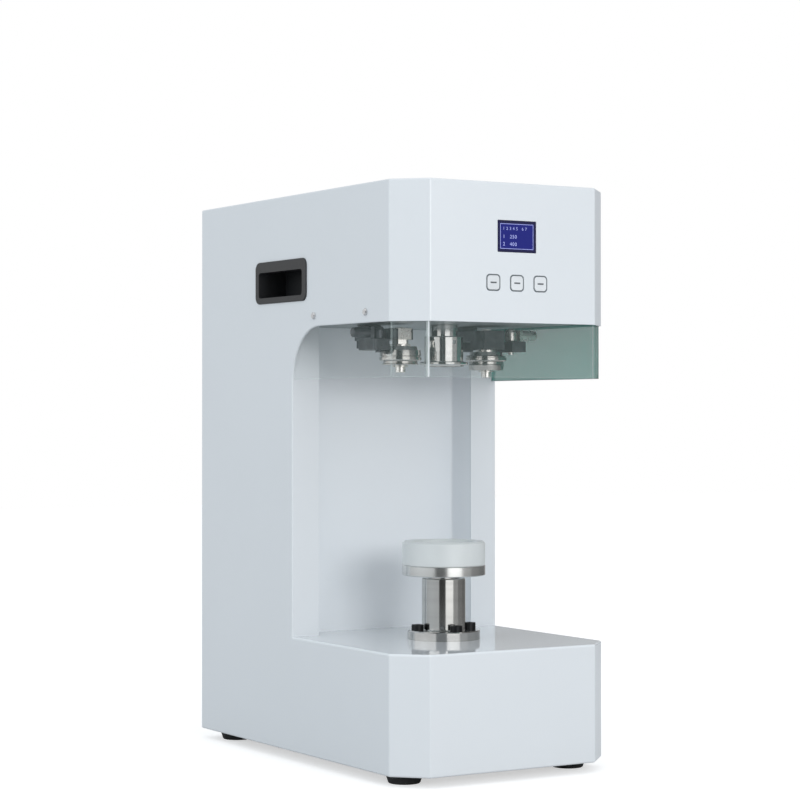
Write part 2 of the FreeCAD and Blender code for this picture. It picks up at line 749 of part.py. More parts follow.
# ---------------------------------------------------------------- inner frame
def inner_frame():
    """Steel spine that ties the table support to the mounting plate in the head."""
    support = box(-support_half, support_half, axis_y - support_half, spine_y,
                  support_bottom_z, support_bottom_z + support_thickness)
    support = support.cut(rod(0, axis_y, tube_radius + seat_gap, 0, top_z))
    for x, y in circle_places(flange_bolt_circle, 4, flange_bolt_angle):
        support = support.cut(rod(x, axis_y + y, m8_radius, 0, top_z))
    post = support_half - support_post_inset
    for x in (-post, post):
        for y in (axis_y - post, axis_y + post):
            support = support.fuse(rod(x, y, support_post_radius, base_bottom_z + sheet,
                                       support_bottom_z))
    keep("lift_frame", support.removeSplitter())

    spine = box(-spine_half, spine_half, spine_y, spine_back_y,
                base_bottom_z + sheet, plate_bottom_z)
    reach = plate_bottom_z - base_top_z
    window_height = spine_window_share * reach
    window = rounded_block(2 * (spine_half - spine_rim), window_height,
                           3 * spine_thickness, window_height / 5)
    for z in even_places(base_top_z + 1.2 * window_height,
                         plate_bottom_z - 1.2 * window_height, 3):
        spine = spine.cut(moved(window, 0, spine_y - spine_thickness, z))
    keep("frame_spine", spine)

    plate_half = half_width - guard_offset - guard_sheet - plate_side_gap
    front = front_y + guard_offset + guard_sheet + 1.0
    cut_back = plate_half - (chamfer_x - 4.0)
    outline = [(-plate_half, front + cut_back), (-plate_half + cut_back, front),
               (plate_half - cut_back, front), (plate_half, front + cut_back),
               (plate_half, spine_back_y), (-plate_half, spine_back_y)]
    plate = prism(outline, plate_bottom_z, plate_top_z)
    ear_y = column_front_y + sheet + 2.0
    plate = plate.fuse(box(-inner_half, inner_half, ear_y, spine_back_y,
                           plate_bottom_z, plate_top_z)).removeSplitter()
    plate = plate.cut(rod(0, axis_y, spindle_radius + 2.0, 0, top_z))
    for side in (-1, 1):
        plate = plate.cut(rod(side * arm_pivot_x, arm_pivot_y, bush_radius, 0, top_z))
    keep("head_mounting_plate", plate)


# ---------------------------------------------------------------- spindle and chuck
def spindle_group():
    housing_top = belt_bottom_z - housing_gap
    outer = bearing_radius + housing_wall
    clear_bore = spindle_radius + 1.5
    low_seat_top = plate_top_z + bearing_height + 3.0
    top_seat = housing_top - bearing_height - 1.0
    profile = [
        (clear_bore, plate_top_z), (outer + housing_flange, plate_top_z),
        (outer + housing_flange, plate_top_z + 4.0), (outer, plate_top_z + 5.0),
        (outer, housing_top), (bearing_radius, housing_top), (bearing_radius, top_seat),
        (clear_bore, top_seat), (clear_bore, low_seat_top), (bearing_radius, low_seat_top),
        (bearing_radius, plate_top_z + 2.0), (clear_bore, plate_top_z + 2.0)]
    keep("spindle_housing", lathe(profile, 0, axis_y))

    bearings = []
    for z in (plate_top_z + 2.5, housing_top - bearing_height - 0.5):
        race = ring(0, axis_y, bearing_radius - running, spindle_radius + running,
                    z, z + bearing_height)
        for level in (z - 1, z + bearing_height - 1.0):
            race = race.cut(ring(0, axis_y, bearing_radius - bearing_groove,
                                 spindle_radius + bearing_groove, level, level + 2.0))
        bearings.append(race)
    keep("spindle_bearings", *bearings)

    nose_radius = spindle_radius - spindle_step
    nose_z = chuck_top_z - chuck_socket_depth
    shoulder_z = belt_top_z + 1.0
    shaft = ring(0, axis_y, spindle_radius, spindle_bore, chuck_top_z, shoulder_z)
    nose = ring(0, axis_y, nose_radius, spindle_bore, nose_z, chuck_top_z)
    journal = ring(0, axis_y, nose_radius, spindle_bore, shoulder_z, spindle_top_z)
    keep("spindle_shaft", shaft.fuse(nose).fuse(journal).removeSplitter())

    lip_top = chuck_bottom_z + chuck_lip_height
    boss_bottom = chuck_bottom_z - chuck_boss_height
    boss_bore = chuck_boss_radius - chuck_boss_wall
    chuck_profile = [
        (spindle_bore, boss_bottom + 1.0), (boss_bore, boss_bottom + 1.0),
        (boss_bore, boss_bottom), (chuck_boss_radius, boss_bottom),
        (chuck_boss_radius + 0.5, chuck_bottom_z), (chuck_lip_radius - 0.8, chuck_bottom_z),
        (chuck_lip_radius, chuck_bottom_z + 0.8), (chuck_lip_radius, lip_top - 0.8),
        (chuck_lip_radius - 0.8, lip_top), (chuck_hub_radius, lip_top + 0.6),
        (chuck_hub_radius, chuck_top_z - 1.0), (chuck_hub_radius - 1.0, chuck_top_z),
        (nose_radius, chuck_top_z), (nose_radius, nose_z), (spindle_bore, nose_z)]
    chuck = lathe(chuck_profile, 0, axis_y)
    grub_start = V(0, axis_y - nose_radius, chuck_top_z - chuck_socket_depth / 2)
    hole = rod_along(V(0, -1, 0), grub_start, grub_screw_radius, chuck_lip_radius)
    keep("seaming_chuck", chuck.cut(hole))
    grub = rod_along(V(0, -1, 0), grub_start, grub_screw_radius - 0.05,
                     chuck_hub_radius - nose_radius - 1.0)
    nut_z = shoulder_z + 0.2
    nut = prism(circle_places(spindle_nut_radius, 6), nut_z, nut_z + spindle_nut_height)
    nut = moved(nut, 0, axis_y).cut(rod(0, axis_y, nose_radius, 0, top_z))
    keep("spindle_fasteners", grub, nut)


def pulley(x, y, radius, bore, teeth, low, high):
    """Timing pulley: flanged, with shallow teeth under the belt."""
    body = ring(x, y, radius, bore, low, high)
    tooth_gap = math.pi * radius / teeth
    groove = box(radius - 1.2, radius + 1.0, -tooth_gap / 2, tooth_gap / 2, low - 1, high + 1)
    grooves = []
    for i in range(teeth):
        cut = groove.copy()
        cut.rotate(V(), Z_UP, 360.0 * i / teeth)
        grooves.append(moved(cut, x, y))
    body = body.cut(Part.makeCompound(grooves))
    rim = ring(x, y, radius + 2.0, bore, low - 2.0, low)
    cap = ring(x, y, radius + 2.0, bore, high, high + 2.0)
    return body.fuse(rim).fuse(cap).removeSplitter()


def belt_drive():
    """Motor in the column, flat toothed belt over to the spindle."""
    low, high = belt_bottom_z + 0.5, belt_top_z - 1.0
    keep("spindle_pulley", pulley(0, axis_y, driven_pulley_radius,
                                  spindle_radius, 34, low, high))
    wheel = pulley(0, motor_y, motor_pulley_radius, motor_shaft_radius, 20, low, high)
    shaft_in = 20.0
    shaft = rod(0, motor_y, motor_shaft_radius, motor_top_z - shaft_in + 0.5,
                belt_top_z + 6.0)
    keep("motor_pulley_shaft", shaft, wheel)

    motor_low_z = motor_top_z - drive_motor_length
    body = rod(0, motor_y, motor_radius, motor_low_z, motor_top_z)
    for angle in range(0, 360, 15):
        rib_cut = box(motor_radius - 2.0, motor_radius + 1, -2.2, 2.2,
                      motor_low_z + 0.1 * drive_motor_length,
                      motor_top_z - 0.13 * drive_motor_length)
        rib_cut.rotate(V(), Z_UP, angle)
        body = body.cut(moved(rib_cut, 0, motor_y))
    body = body.cut(rod(0, motor_y, motor_shaft_radius + 1.0, motor_top_z - shaft_in, top_z))
    keep("drive_motor", body)
    shelf_top = motor_top_z + motor_shelf
    shelf = box(-spine_half, spine_half, spine_back_y, motor_y + motor_shelf_reach,
                motor_top_z, shelf_top)
    shelf = shelf.cut(rod(0, motor_y, motor_shaft_radius + 2.0, 0, top_z))
    web_reach = motor_y + motor_shelf_reach - motor_shelf - spine_back_y
    web_profile = [V(0, spine_back_y, motor_top_z - web_reach / 2),
                   V(0, spine_back_y, motor_top_z),
                   V(0, spine_back_y + web_reach, motor_top_z)]
    web = Part.Face(Part.makePolygon(web_profile + web_profile[:1]))
    web = web.extrude(V(motor_shelf, 0, 0))
    for x in (-spine_half, spine_half - motor_shelf):
        shelf = shelf.fuse(moved(web, x))
    upright = box(-spine_half, spine_half, spine_y, spine_back_y, plate_top_z, shelf_top)
    keep("motor_bracket", shelf.fuse(upright).removeSplitter())

    span = motor_y - axis_y
    lean = math.asin((driven_pulley_radius - motor_pulley_radius) / span)

    def loop(extra):
        """Closed belt outline round both pulleys, extra outside the tooth tips."""
        big, small = driven_pulley_radius + extra, motor_pulley_radius + extra
        side = []
        for sign in (1, -1):
            off = V(sign * math.cos(lean), math.sin(lean), 0)
            side.append((V(0, axis_y, 0) + off * big, V(0, motor_y, 0) + off * small))
        (a0, a1), (b0, b1) = side
        edges = [Part.LineSegment(a0, a1).toShape(),
                 Part.Arc(a1, V(0, motor_y + small, 0), b1).toShape(),
                 Part.LineSegment(b1, b0).toShape(),
                 Part.Arc(b0, V(0, axis_y - big, 0), a0).toShape()]
        return Part.Face(Part.Wire(edges)).extrude(V(0, 0, belt_width - 2.5))

    belt = loop(seat_gap + belt_thickness).cut(loop(seat_gap))
    keep("drive_belt", moved(belt, 0, 0, belt_bottom_z + 1.0))


# ---------------------------------------------------------------- seaming arms
step_x = roller_x + roller_radius + 0.8
step_y = axis_y - 4.0


def roller_body(bottom, seam_depth, seam_height):
    """Turned seaming roller: its groove closes round the chuck's lip."""
    top = bottom + roller_height
    rim = roller_radius
    groove_low = chuck_bottom_z + lip_rise
    groove_high = groove_low + seam_height
    bore = roller_pin_radius + running
    profile = [
        (bore, bottom), (rim - 3.8, bottom), (rim - 2.8, groove_low - 0.6),
        (rim - 2.8, groove_low), (rim - seam_depth, groove_low + 0.8),
        (rim - seam_depth, groove_high - 0.8), (rim - 0.8, groove_high),
        (rim, groove_high + 0.8), (rim, groove_high + 3.4), (rim - 1.4, groove_high + 3.9),
        (rim - 1.4, groove_high + 4.7), (rim - 0.3, groove_high + 5.2),
        (rim - 0.9, top - 3.8), (rim - 4.0, top - 3.4), (rim - 4.8, top), (bore, top)]
    return lathe(profile, roller_x, axis_y)


def lever(circles, low, high):
    """Flat lever: round bosses joined by straight tangent webs."""
    shape = None
    for x, y, radius in circles:
        boss = rod(x, y, radius, low, high)
        shape = boss if shape is None else shape.fuse(boss)
    for (ax, ay, ar), (bx, by, br) in zip(circles, circles[1:] + circles[:1]):
        along = V(bx - ax, by - ay, 0)
        lean = (ar - br) / along.Length
        across = math.sqrt(1 - lean * lean)
        along.normalize()
        side = V(-along.y, along.x, 0)
        left, right = [side * (sign * across) + along * lean for sign in (1, -1)]
        corners = [(ax + left.x * ar, ay + left.y * ar), (bx + left.x * br, by + left.y * br),
                   (bx + right.x * br, by + right.y * br),
                   (ax + right.x * ar, ay + right.y * ar)]
        shape = shape.fuse(prism(corners, low, high))
    return shape.removeSplitter()


def arm_lever(low_step_z):
    """Arm with a round pivot boss and nose, and a lower outer step for the adjuster."""
    pivot_circle = (arm_pivot_x, arm_pivot_y, pivot_boss_radius)
    nose_circle = (roller_x, axis_y, holder_half_width + 0.5)
    shoulder_circle = (roller_x + roller_radius + 1.5, axis_y + 14.0, 8.0)
    arm = lever([pivot_circle, nose_circle, shoulder_circle], arm_bottom_z, arm_top_z)
    step = box(step_x, step_x + tongue_length, step_y - tongue_half_width,
               step_y + tongue_half_width + 9.0, low_step_z, arm_bottom_z)
    corners = [(step_x + tongue_length, step_y - tongue_half_width),
               (step_x + tongue_length, step_y + tongue_half_width + 9.0)]
    return arm.fuse(step.makeFillet(3.0, vertical_edges(step, corners))).removeSplitter()


def roller_block(roller_top, in_fork):
    """Roller holder: a square block in the arm's fork, or a block under the arm."""
    low = roller_top + holder_gap
    if in_fork:
        half = fork_block / 2
        block = box(roller_x - half, roller_x + half, axis_y - half, axis_y + half,
                    arm_bottom_z, arm_top_z + 1.0)
        edges = edges_at_height(block, arm_top_z + 1.0, lambda x, y: True)
        nut = moved(prism(circle_places(half, 6, 15.0), low, arm_bottom_z), roller_x, axis_y)
        return [block.makeChamfer(0.6, edges), nut]
    wide, deep = holder_half_width, holder_half_depth
    lip_back = axis_y - deep - front_lip_gap
    block = box(roller_x - wide, roller_x + wide, lip_back, axis_y + deep, low, arm_bottom_z)
    lip = box(roller_x - wide, roller_x + wide, lip_back - front_lip, lip_back, low, arm_top_z)
    return [block.fuse(lip).removeSplitter()]


def seaming_arm(side, operation, roller_z, seam_depth, seam_height, in_fork):
    """Swinging arm with its holder, pin and roller; modelled on the right, placed by side."""
    roller_top = roller_z + roller_height
    holder = [block.cut(rod(roller_x, axis_y, roller_pin_radius, 0, top_z))
              for block in roller_block(roller_top, in_fork)]

    arm = arm_lever(arm_bottom_z - tongue_depth)
    arm = arm.cut(rod(arm_pivot_x, arm_pivot_y, pivot_shaft_radius, 0, top_z))
    arm = arm.cut(rod(roller_x, axis_y, roller_pin_radius, 0, top_z))
    arm = arm.cut(rod(step_x + thumb_nut_radius, step_y, m6_radius, 0, top_z))
    if in_fork:
        half = fork_block / 2
        arm = arm.cut(box(roller_x - half, roller_x + half, axis_y - 2 * fork_block,
                          axis_y + half, 0, top_z))

    pin_bottom = roller_z - 7.8
    pin = rod(roller_x, axis_y, roller_pin_radius, pin_bottom, arm_top_z + 1.5)
    pin = pin.makeChamfer(0.8, edges_at_height(pin, pin_bottom, lambda x, y: True))
    groove_z = roller_z - 1.7
    neck = roller_pin_radius - 0.8
    pin = pin.cut(ring(roller_x, axis_y, roller_pin_radius + 1, neck, groove_z,
                       groove_z + 1.4))
    clip = ring(roller_x, axis_y, roller_pin_radius + 2.8, neck, groove_z + 0.1,
                groove_z + 1.3)
    clip = clip.cut(box(roller_x, roller_x + 20, axis_y - 3, axis_y + 3, 0, top_z))
    washer = ring(roller_x, axis_y, roller_pin_radius + 5.5, roller_pin_radius,
                  roller_top + seat_gap, roller_top + holder_gap)

    nut_bottom = arm_bottom_z - pivot_nut_height
    shaft_bottom = nut_bottom - 2.0
    collar_top = plate_bottom_z - seat_gap
    shaft_top = plate_top_z + gearmotor_foot_height + gearmotor_height / 2
    shaft_profile = [
        (0, shaft_bottom), (pivot_shaft_radius - 1, shaft_bottom),
        (pivot_shaft_radius, shaft_bottom + 1), (pivot_shaft_radius, arm_top_z),
        (bush_radius, arm_top_z), (bush_radius, collar_top),
        (pivot_shaft_radius, collar_top), (pivot_shaft_radius, shaft_top), (0, shaft_top)]
    shaft = lathe(shaft_profile, arm_pivot_x, arm_pivot_y)
    nut = prism(circle_places(pivot_nut_radius, 6, 30.0), nut_bottom, arm_bottom_z)
    nut = moved(nut, arm_pivot_x, arm_pivot_y)
    nut = nut.cut(rod(arm_pivot_x, arm_pivot_y, pivot_shaft_radius, 0, top_z))

    def place(shape):
        return shape if side > 0 else mirrored(shape)

    keep(operation + "_arm", place(arm))
    keep(operation + "_roller_holder", *[place(block) for block in holder])
    keep(operation + "_seaming_roller",
         place(roller_body(roller_z, seam_depth, seam_height)))
    keep(operation + "_roller_pin", place(pin), place(clip), place(washer))
    keep(operation + "_arm_shaft", place(shaft), place(nut))
    keep(operation + "_arm_adjuster", *[place(piece) for piece in adjuster()])


def adjuster():
    """Domed thumb nut on its stud, and a capped adjusting barrel on an upright lug."""
    nut_x = step_x + thumb_nut_radius
    low = arm_bottom_z
    rim = low + thumb_nut_height * 0.7
    high = low + thumb_nut_height
    dome = [(m6_radius, low), (thumb_nut_radius - 1.0, low), (thumb_nut_radius, low + 1.0),
            (thumb_nut_radius, rim), (thumb_nut_radius * 0.8, high - 1.2),
            (thumb_nut_radius * 0.4, high), (0, high), (0, high - 3.0),
            (m6_radius, high - 3.0)]
    stud = rod(nut_x, step_y, m6_radius, low - tongue_depth - 2.5, high - 3.0)
    lug_x = step_x + tongue_length - lug_thickness - 0.5
    centre_z = low + barrel_radius + 1.0
    lug = box(lug_x, lug_x + lug_thickness, step_y - barrel_radius, step_y + barrel_radius,
              low, centre_z + barrel_radius)
    barrel_x = lug_x + lug_thickness
    cap_end = half_width - guard_offset - guard_sheet - barrel_guard_gap
    barrel_length = cap_end - barrel_cap - barrel_x
    barrel = rod_along(V(1, 0, 0), V(barrel_x, step_y, centre_z), barrel_radius,
                       barrel_length)
    cap = rod_along(V(1, 0, 0), V(barrel_x + barrel_length, step_y, centre_z),
                    barrel_radius - 0.4, barrel_cap)
    rims = [e for e in cap.Edges if e.Closed and e.Vertexes[0].X > barrel_x + barrel_length + 1]
    return lathe(dome, nut_x, step_y), stud, lug.fuse(barrel), cap.makeChamfer(0.8, rims)


def arm_drives():
    """Geared motors that swing the two arms, standing on the mounting plate."""
    low = plate_top_z
    body_low = low + gearmotor_foot_height
    half = gearmotor_side / 2
    wide = half + gearmotor_foot
    motors = []
    for side in (-1, 1):
        x = side * arm_pivot_x
        foot = box(x - wide, x + wide, arm_pivot_y - wide, arm_pivot_y + wide, low, body_low)
        body = box(x - half, x + half, arm_pivot_y - half, arm_pivot_y + half,
                   body_low, body_low + gearmotor_height)
        corners = [(x + a * half, arm_pivot_y + b * half) for a in (-1, 1) for b in (-1, 1)]
        body = body.makeFillet(4.0, vertical_edges(body, corners))
        motor = foot.fuse(body).removeSplitter()
        motor = motor.cut(rod(x, arm_pivot_y, bush_radius, low - 1, body_low))
        motors.append(motor.cut(rod(x, arm_pivot_y, pivot_shaft_radius + seat_gap, low,
                                    body_low + gearmotor_height / 2 + 4.0)))
    keep("arm_gearmotors", *motors)


# ---------------------------------------------------------------- lift and table
def lift():
    """Flanged sleeve, ram with its push rod, and the closed linear actuator below."""
    bore = ram_radius + seat_gap
    bush_seat = ram_radius + bush_wall
    top_bush_z = tube_top_z - 3.0 - bush_length
    low_bush_top = sleeve_bottom_z + bush_length
    sleeve_profile = [
        (bush_seat, sleeve_bottom_z), (tube_radius, sleeve_bottom_z),
        (tube_radius, base_top_z), (flange_radius, base_top_z),
        (flange_radius, flange_top_z - 1.0), (flange_radius - 1.0, flange_top_z),
        (tube_radius + 1.0, flange_top_z), (tube_radius, flange_top_z + 1.0),
        (tube_radius, tube_top_z - 1.0), (tube_radius - 1.0, tube_top_z),
        (bore, tube_top_z), (bore, top_bush_z + bush_length),
        (bush_seat, top_bush_z + bush_length), (bush_seat, top_bush_z),
        (bore, top_bush_z), (bore, low_bush_top), (bush_seat, low_bush_top)]
    sleeve = lathe(sleeve_profile, 0, axis_y)
    bolt_places = circle_places(flange_bolt_circle, 4, flange_bolt_angle)
    for x, y in bolt_places:
        sleeve = sleeve.cut(rod(x, axis_y + y, m8_radius + hole_clearance,
                                base_top_z - 1, flange_top_z + 1))
    keep("lift_sleeve", sleeve)
    bushes = [ring(0, axis_y, bush_seat, ram_radius + running, z, z + bush_length)
              for z in (sleeve_bottom_z, top_bush_z)]
    arm_bushes = [ring(side * arm_pivot_x, arm_pivot_y, bush_radius,
                       pivot_shaft_radius + running, plate_bottom_z,
                       plate_top_z + gearmotor_foot_height)
                  for side in (-1, 1)]
    keep("plain_bushes", *(bushes + arm_bushes))
    bolt = socket_screw(m8_radius, flange_bolt_head_radius, flange_bolt_head_height,
                        flange_thickness + sheet + support_thickness, m8_key_width)
    keep("lift_flange_bolts",
         *[moved(bolt, x, axis_y + y, flange_top_z) for x, y in bolt_places])

    ram_top_z = disc_bottom_z - table_gap
    pocket_z = ram_top_z - table_bearing_height
    well_z = pocket_z - 8.0
    well_radius = table_bearing_radius - 2.5
    rod_bottom_z = actuator_top_z - lift_travel - rod_spare
    rod_top_z = ram_bottom_z + 4.0
    ram_profile = [
        (0, rod_bottom_z), (rod_radius, rod_bottom_z), (rod_radius, rod_top_z),
        (ram_radius - 3.0, rod_top_z), (ram_radius - 3.0, ram_bottom_z),
        (ram_radius, ram_bottom_z), (ram_radius, ram_top_z - 0.8),
        (ram_radius - 0.8, ram_top_z), (table_bearing_radius, ram_top_z),
        (table_bearing_radius, pocket_z), (well_radius, pocket_z),
        (well_radius, well_z), (0, well_z)]
    keep("lift_ram", lathe(ram_profile, 0, axis_y))

    bearing = ring(0, axis_y, table_bearing_radius, table_pivot_radius + running, pocket_z,
                   ram_top_z + 0.3)
    for level in (pocket_z - 1, ram_top_z - 0.4):
        bearing = bearing.cut(ring(0, axis_y, table_bearing_radius - 1.8,
                                   table_pivot_radius + 2.0, level, level + 1.7))
    keep("table_bearing", bearing)
    pivot_top = disc_bottom_z + table_pivot_grip
    keep("table_pivot_pin", rod(0, axis_y, table_pivot_radius, pocket_z - table_pivot_depth,
                                pivot_top))
    disc_profile = [
        (0, pivot_top), (table_pivot_radius, pivot_top),
        (table_pivot_radius, disc_bottom_z), (disc_radius - 0.8, disc_bottom_z),
        (disc_radius, disc_bottom_z + 0.8), (disc_radius, disc_top_z - 0.8),
        (disc_radius - 0.8, disc_top_z), (0, disc_top_z)]
    keep("table_disc", lathe(disc_profile, 0, axis_y))
    nest_bore = can_radius + nest_clearance
    nest_floor_z = nest_top_z - nest_depth
    nest_profile = [
        (0, disc_top_z), (disc_radius - 0.8, disc_top_z), (disc_radius - 0.2, disc_top_z + 0.6),
        (disc_radius - 0.2, nest_top_z - 2.0), (disc_radius - 2.2, nest_top_z),
        (nest_bore + 1.0, nest_top_z), (nest_bore, nest_top_z - 1.0),
        (nest_bore, nest_floor_z), (0, nest_floor_z)]
    keep("can_nest", lathe(nest_profile, 0, axis_y))

    floor_z = base_bottom_z + sheet
    shell = rod(0, axis_y, rod_radius + seat_gap + actuator_wall, floor_z, actuator_top_z)
    half = actuator_half
    gearbox_top = floor_z + actuator_gearbox_height
    motor_centre_y = axis_y + actuator_motor_reach
    far_y = motor_centre_y + half
    gearbox = box(-half, half, axis_y - half, far_y, floor_z, gearbox_top)
    rim = [(side * half, y) for side in (-1, 1) for y in (axis_y - half, far_y)]
    gearbox = gearbox.makeFillet(6.0, vertical_edges(gearbox, rim))
    motor = rod(0, motor_centre_y, half - 3.0, gearbox_top, actuator_top_z - 6.0)
    actuator = shell.fuse(gearbox).fuse(motor).removeSplitter()
    actuator = actuator.cut(rod(0, axis_y, rod_radius + seat_gap, floor_z + 3.0, top_z))
    keep("lift_actuator", actuator)


def main():
    os.makedirs("parts", exist_ok=True)
    cabinet()
    feet()
    handles()
    guard()
    controls()
    power_entry()
    inner_frame()
    spindle_group()
    belt_drive()
    seaming_arm(-1, "first", first_roller_z, 4.0, 3.2, True)
    seaming_arm(1, "second", second_roller_z, 3.2, 4.0, False)
    arm_drives()
    lift()
    keep("cabinet_screws", *cabinet_screws)
    for name, shape in nodes.items():
        shape.exportStep(os.path.join("parts", name + ".step"))
    print(len(nodes), "nodes")


main()
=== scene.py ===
"""Looks of the bench-top can seamer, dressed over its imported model.

Metres. +X is the operator's right, -Y faces the operator, +Z is up.
"""
import math

import bpy
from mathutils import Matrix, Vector


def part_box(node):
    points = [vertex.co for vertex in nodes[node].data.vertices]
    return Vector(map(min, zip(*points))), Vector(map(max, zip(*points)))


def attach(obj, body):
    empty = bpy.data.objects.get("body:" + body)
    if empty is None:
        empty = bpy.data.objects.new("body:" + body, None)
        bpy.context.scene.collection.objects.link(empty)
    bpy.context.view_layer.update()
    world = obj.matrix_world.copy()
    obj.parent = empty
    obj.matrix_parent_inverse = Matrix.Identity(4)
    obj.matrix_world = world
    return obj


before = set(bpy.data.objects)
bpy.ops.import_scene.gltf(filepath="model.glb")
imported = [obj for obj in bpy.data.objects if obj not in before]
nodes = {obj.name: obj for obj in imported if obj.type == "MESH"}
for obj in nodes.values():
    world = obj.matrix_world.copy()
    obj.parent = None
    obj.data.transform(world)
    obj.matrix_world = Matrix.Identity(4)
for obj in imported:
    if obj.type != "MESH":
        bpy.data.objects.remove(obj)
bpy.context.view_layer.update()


# --- Camera -------------------------------------------------------------------------
# It stands at the operator's left, a little below the middle of the machine, and
# looks slightly upwards with a long lens.
camera_data = bpy.data.cameras.new("camera")
camera_data.lens = 102.38
camera_data.sensor_width = 36.0
camera_data.clip_end = 50.0
camera = bpy.data.objects.new("camera", camera_data)
camera.location = (-1.2630, -2.0736, 0.3615)
camera.rotation_euler = (math.radians(90.341), 0.0, math.radians(-31.36))
bpy.context.scene.collection.objects.link(camera)
bpy.context.scene.camera = camera
bpy.context.scene.view_settings.view_transform = "Standard"


# --- Bench, backdrop light and lamps ------------------------------------------------
# A plain white bench top that keeps the soft shadow of the machine, a white room and
# large soft lamps. Cards that only mirror-like surfaces see stand in a ring round the
# machine, so that turned metal shows its bands.
def shader_tree(material):
    material.use_nodes = True
    return material.node_tree


bpy.ops.object.select_all(action="DESELECT")
bench_width = 12.0
bpy.ops.mesh.primitive_plane_add(size=bench_width, location=(0, 0, 0))
bench = bpy.context.object
bench.name = "bench_top"
bench_material = bpy.data.materials.new("bench_white")
tree = shader_tree(bench_material)
tree.nodes.clear()
bench_out = tree.nodes.new("ShaderNodeOutputMaterial")
bench_matt = tree.nodes.new("ShaderNodeBsdfDiffuse")
bench_matt.inputs["Color"].default_value = (0.62, 0.62, 0.62, 1)
bench_glow = tree.nodes.new("ShaderNodeEmission")
bench_rays = tree.nodes.new("ShaderNodeLightPath")
bench_seen = tree.nodes.new("ShaderNodeMath")
bench_seen.operation = "MAXIMUM"
tree.links.new(bench_rays.outputs["Is Camera Ray"], bench_seen.inputs[0])
tree.links.new(bench_rays.outputs["Is Transmission Ray"], bench_seen.inputs[1])
bench_level = tree.nodes.new("ShaderNodeMath")
bench_level.operation = "MULTIPLY"
bench_own_light = 0.55
bench_level.inputs[1].default_value = bench_own_light
tree.links.new(bench_seen.outputs[0], bench_level.inputs[0])
tree.links.new(bench_level.outputs[0], bench_glow.inputs["Strength"])
bench_sum = tree.nodes.new("ShaderNodeAddShader")
tree.links.new(bench_matt.outputs[0], bench_sum.inputs[0])
tree.links.new(bench_glow.outputs[0], bench_sum.inputs[1])
tree.links.new(bench_sum.outputs[0], bench_out.inputs["Surface"])
bench.data.materials.append(bench_material)

world = bpy.data.worlds.new("white_room")
bpy.context.scene.world = world
world.use_nodes = True
tree = world.node_tree
room = tree.nodes["Background"]
room_rays = tree.nodes.new("ShaderNodeLightPath")
seen = tree.nodes.new("ShaderNodeMath")
seen.operation = "MAXIMUM"
tree.links.new(room_rays.outputs["Is Camera Ray"], seen.inputs[0])
tree.links.new(room_rays.outputs["Is Transmission Ray"], seen.inputs[1])
seen_in_gloss = tree.nodes.new("ShaderNodeMath")
seen_in_gloss.operation = "MAXIMUM"
tree.links.new(seen.outputs[0], seen_in_gloss.inputs[0])
tree.links.new(room_rays.outputs["Is Glossy Ray"], seen_in_gloss.inputs[1])
room_level = tree.nodes.new("ShaderNodeMapRange")
room_light, room_seen = 0.77, 1.0
room_level.inputs["To Min"].default_value = room_light
room_level.inputs["To Max"].default_value = room_seen
tree.links.new(seen_in_gloss.outputs[0], room_level.inputs["Value"])
tree.links.new(room_level.outputs[0], room.inputs["Strength"])
room_tint = tree.nodes.new("ShaderNodeMix")
room_tint.data_type = "RGBA"
room_tint.inputs[6].default_value = (0.95, 0.99, 1.03, 1)
room_tint.inputs[7].default_value = (1, 1, 1, 1)
tree.links.new(seen_in_gloss.outputs[0], room_tint.inputs[0])
tree.links.new(room_tint.outputs[2], room.inputs["Color"])


def softbox(name, place, aim, width, height, power):
    """A large soft lamp at a place, turned towards the aim point."""
    data = bpy.data.lights.new(name, "AREA")
    data.shape = "RECTANGLE"
    data.size = width
    data.size_y = height
    data.energy = power
    lamp = bpy.data.objects.new(name, data)
    lamp.location = place
    lamp.rotation_euler = (Vector(aim) - Vector(place)).to_track_quat("-Z", "Y").to_euler()
    bpy.context.scene.collection.objects.link(lamp)
    return lamp


machine_middle = (0.0, 0.0, 0.32)
axis_y = -0.088
softbox("front_softbox", (-0.15, -2.6, 0.80), machine_middle, 1.2, 0.7, 19.5)
softbox("top_softbox", (0.0, -0.4, 2.6), machine_middle, 1.8, 1.8, 5)
side_lamp = softbox("side_softbox", (-2.6, 0.4, 1.2), machine_middle, 1.4, 1.4, 10)
side_lamp.data.color = (0.84, 0.94, 1.0)


def reflection_card(name, place, aim, width, height, shade):
    """A card that only mirror-like surfaces see."""
    bpy.ops.object.select_all(action="DESELECT")
    bpy.ops.mesh.primitive_plane_add(size=1.0, location=(0, 0, 0))
    card = bpy.context.object
    card.name = name
    card.scale = (width, height, 1)
    card.location = place
    card.rotation_euler = (Vector(aim) - Vector(place)).to_track_quat("Z", "Y").to_euler()
    material = bpy.data.materials.new(name)
    tree = shader_tree(material)
    tree.nodes.clear()
    out = tree.nodes.new("ShaderNodeOutputMaterial")
    glow = tree.nodes.new("ShaderNodeEmission")
    glow.inputs["Color"].default_value = (shade, shade, shade, 1)
    tree.links.new(glow.outputs[0], out.inputs["Surface"])
    card.data.materials.append(material)
    for rays in ("camera", "diffuse", "transmission", "shadow"):
        setattr(card, "visible_" + rays, False)


card_ring = 1.3      # radius
card_height = 2.4
